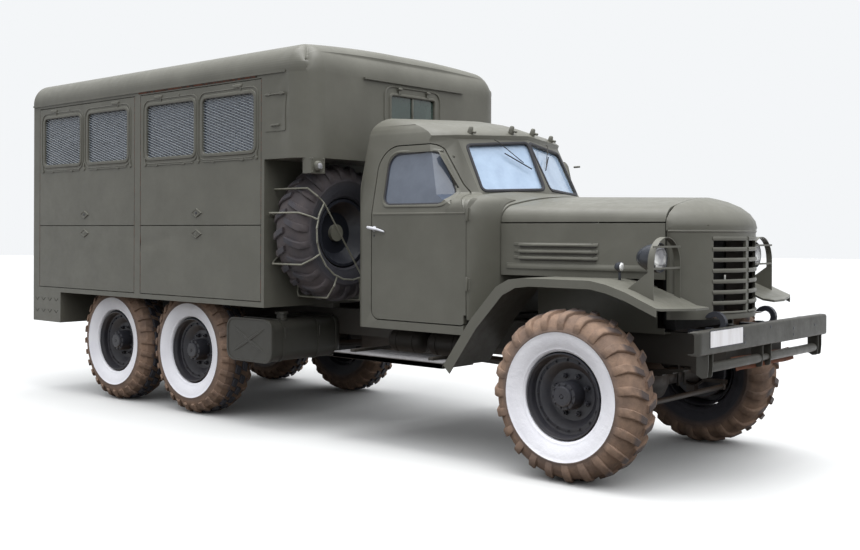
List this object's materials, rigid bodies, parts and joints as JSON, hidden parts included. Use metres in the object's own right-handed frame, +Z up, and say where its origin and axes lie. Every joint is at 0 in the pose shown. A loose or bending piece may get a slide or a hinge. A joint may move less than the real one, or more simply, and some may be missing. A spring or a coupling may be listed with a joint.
{
  "type": "military six-wheel-drive truck with box body",
  "caption": "Bonneted six-wheel-drive army truck with a workshop box body, hinged side flaps, butterfly hood, cab doors and a side-mounted spare wheel.",
  "frame": {"origin": "on the ground under the middle of the overall length and width", "axes": "+X forward along the truck, +Y to its left, +Z up"},
  "size_m": [6.9359, 2.34, 2.9459],
  "materials": {
    "green_paint": "matt",
    "chassis_paint": "matt",
    "cast_housing": "rough",
    "rim_paint": "satin",
    "tyre_rubber": "dusty",
    "glass": "clear",
    "lamp": "gloss",
    "seat_cloth": "satin",
    "bakelite": "gloss"
  },
  "bodies": {
    "root": {"box_shell": "green_paint", "cab_seat": "seat_cloth", "cab_shell": "green_paint", "dashboard": "green_paint", "driveline": "chassis_paint", "engine": "cast_housing", "exhaust": "chassis_paint", "fixed_glass": "glass", "frame": "chassis_paint", "front_axle": "cast_housing", "front_bumper": "green_paint", "front_fenders": "green_paint", "fuel_tank": "green_paint", "grille_shell": "green_paint", "headlamps": "lamp", "hood_sides": "green_paint", "leaf_springs": "chassis_paint", "radiator": "chassis_paint", "rear_axles": "cast_housing", "running_boards": "chassis_paint", "spare_cage": "chassis_paint", "spare_rim": "rim_paint", "spare_tyre": "tyre_rubber", "tow_hooks": "cast_housing", "winch": "chassis_paint"},
    "wheel_front_left": {"tyre_front_left": "tyre_rubber", "rim_front_left": "rim_paint"},
    "wheel_front_right": {"tyre_front_right": "tyre_rubber", "rim_front_right": "rim_paint"},
    "wheel_middle_left": {"tyre_middle_left": "tyre_rubber", "rim_middle_left": "rim_paint"},
    "wheel_middle_right": {"tyre_middle_right": "tyre_rubber", "rim_middle_right": "rim_paint"},
    "wheel_rear_left": {"tyre_rear_left": "tyre_rubber", "rim_rear_left": "rim_paint"},
    "wheel_rear_right": {"tyre_rear_right": "tyre_rubber", "rim_rear_right": "rim_paint"},
    "knuckle_left_body": {"knuckle_left": "chassis_paint"},
    "knuckle_right_body": {"knuckle_right": "chassis_paint"},
    "tie_rod_body": {"tie_rod": "chassis_paint"},
    "steering_wheel_body": {"steering_wheel": "bakelite"},
    "cab_door_left_body": {"cab_door_left": "green_paint", "door_glass_left": "glass"},
    "hood_left_body": {"hood_left": "green_paint"},
    "cab_door_right_body": {"cab_door_right": "green_paint", "door_glass_right": "glass"},
    "hood_right_body": {"hood_right": "green_paint"},
    "upper_flap_rear_left_body": {"upper_flap_rear_left": "green_paint", "flap_glass_rear_left": "glass"},
    "lower_flap_rear_left_body": {"lower_flap_rear_left": "green_paint"},
    "upper_flap_rear_right_body": {"upper_flap_rear_right": "green_paint", "flap_glass_rear_right": "glass"},
    "lower_flap_rear_right_body": {"lower_flap_rear_right": "green_paint"},
    "upper_flap_front_left_body": {"upper_flap_front_left": "green_paint", "flap_glass_front_left": "glass"},
    "lower_flap_front_left_body": {"lower_flap_front_left": "green_paint"},
    "upper_flap_front_right_body": {"upper_flap_front_right": "green_paint", "flap_glass_front_right": "glass"},
    "lower_flap_front_right_body": {"lower_flap_front_right": "green_paint"},
    "rear_door_body": {"rear_door": "green_paint"}
  },
  "joints": [
    {"name": "steer_left", "type": "hinge", "parent": "root", "child": "knuckle_left_body", "pos_m": [2.6, 0.672, 0.525], "axis": [0, 0, 1], "range_deg": [-28, 28]},
    {"name": "steer_right", "type": "hinge", "parent": "root", "child": "knuckle_right_body", "pos_m": [2.6, -0.672, 0.525], "axis": [0, 0, 1], "range_deg": [-28, 28]},
    {"name": "tie_rod_joint", "type": "hinge", "parent": "knuckle_left_body", "child": "tie_rod_body", "pos_m": [2.835, 0.672, 0.445], "axis": [0, 0, 1], "range_deg": [-28, 28]},
    {"name": "steering_wheel_turn", "type": "hinge", "parent": "root", "child": "steering_wheel_body", "pos_m": [1.47, 0.38, 1.5], "axis": [-0.7122, 0, 0.702], "range_deg": [-448, 448]},
    {"name": "spin_front_left", "type": "hinge", "parent": "knuckle_left_body", "child": "wheel_front_left", "pos_m": [2.6, 0.876, 0.525], "axis": [0, 1, 0], "continuous": true},
    {"name": "spin_front_right", "type": "hinge", "parent": "knuckle_right_body", "child": "wheel_front_right", "pos_m": [2.6, -0.876, 0.525], "axis": [0, 1, 0], "continuous": true},
    {"name": "spin_middle_left", "type": "hinge", "parent": "root", "child": "wheel_middle_left", "pos_m": [-1.065, 0.876, 0.525], "axis": [0, 1, 0], "continuous": true},
    {"name": "spin_middle_right", "type": "hinge", "parent": "root", "child": "wheel_middle_right", "pos_m": [-1.065, -0.876, 0.525], "axis": [0, 1, 0], "continuous": true},
    {"name": "spin_rear_left", "type": "hinge", "parent": "root", "child": "wheel_rear_left", "pos_m": [-2.185, 0.876, 0.525], "axis": [0, 1, 0], "continuous": true},
    {"name": "spin_rear_right", "type": "hinge", "parent": "root", "child": "wheel_rear_right", "pos_m": [-2.185, -0.876, 0.525], "axis": [0, 1, 0], "continuous": true},
    {"name": "cab_door_left_hinge", "type": "hinge", "parent": "root", "child": "cab_door_left_body", "pos_m": [1.785, 0.88, 1.4], "axis": [0, 0, -1], "range_deg": [0, 70]},
    {"name": "hood_left_hinge", "type": "hinge", "parent": "root", "child": "hood_left_body", "pos_m": [2.6, 0, 1.753], "axis": [0.9998, 0, -0.018], "range_deg": [0, 75]},
    {"name": "cab_door_right_hinge", "type": "hinge", "parent": "root", "child": "cab_door_right_body", "pos_m": [1.785, -0.88, 1.4], "axis": [0, 0, 1], "range_deg": [0, 70]},
    {"name": "hood_right_hinge", "type": "hinge", "parent": "root", "child": "hood_right_body", "pos_m": [2.6, 0, 1.753], "axis": [-0.9998, 0, 0.018], "range_deg": [0, 75]},
    {"name": "upper_flap_rear_left_hinge", "type": "hinge", "parent": "root", "child": "upper_flap_rear_left_body", "pos_m": [-2.4505, 1.16, 2.662], "axis": [1, 0, 0], "range_deg": [0, 90]},
    {"name": "lower_flap_rear_left_hinge", "type": "hinge", "parent": "root", "child": "lower_flap_rear_left_body", "pos_m": [-2.4505, 1.16, 0.986], "axis": [-1, 0, 0], "range_deg": [0, 90]},
    {"name": "upper_flap_rear_right_hinge", "type": "hinge", "parent": "root", "child": "upper_flap_rear_right_body", "pos_m": [-2.4505, -1.16, 2.662], "axis": [-1, 0, 0], "range_deg": [0, 90]},
    {"name": "lower_flap_rear_right_hinge", "type": "hinge", "parent": "root", "child": "lower_flap_rear_right_body", "pos_m": [-2.4505, -1.16, 0.986], "axis": [1, 0, 0], "range_deg": [0, 90]},
    {"name": "upper_flap_front_left_hinge", "type": "hinge", "parent": "root", "child": "upper_flap_front_left_body", "pos_m": [-0.785, 1.16, 2.662], "axis": [1, 0, 0], "range_deg": [0, 90]},
    {"name": "lower_flap_front_left_hinge", "type": "hinge", "parent": "root", "child": "lower_flap_front_left_body", "pos_m": [-0.785, 1.16, 0.986], "axis": [-1, 0, 0], "range_deg": [0, 90]},
    {"name": "upper_flap_front_right_hinge", "type": "hinge", "parent": "root", "child": "upper_flap_front_right_body", "pos_m": [-0.785, -1.16, 2.662], "axis": [-1, 0, 0], "range_deg": [0, 90]},
    {"name": "lower_flap_front_right_hinge", "type": "hinge", "parent": "root", "child": "lower_flap_front_right_body", "pos_m": [-0.785, -1.16, 0.986], "axis": [1, 0, 0], "range_deg": [0, 90]},
    {"name": "rear_door_hinge", "type": "hinge", "parent": "root", "child": "rear_door_body", "pos_m": [-3.35, 0.48, 1.75], "axis": [0, 0, -1], "range_deg": [0, 100]}
  ],
  "couplings": [
    {"joint": "steer_right", "follows": "steer_left", "ratio": 1},
    {"joint": "tie_rod_joint", "follows": "steer_left", "ratio": -1},
    {"joint": "steering_wheel_turn", "follows": "steer_left", "ratio": 16}
  ]
}
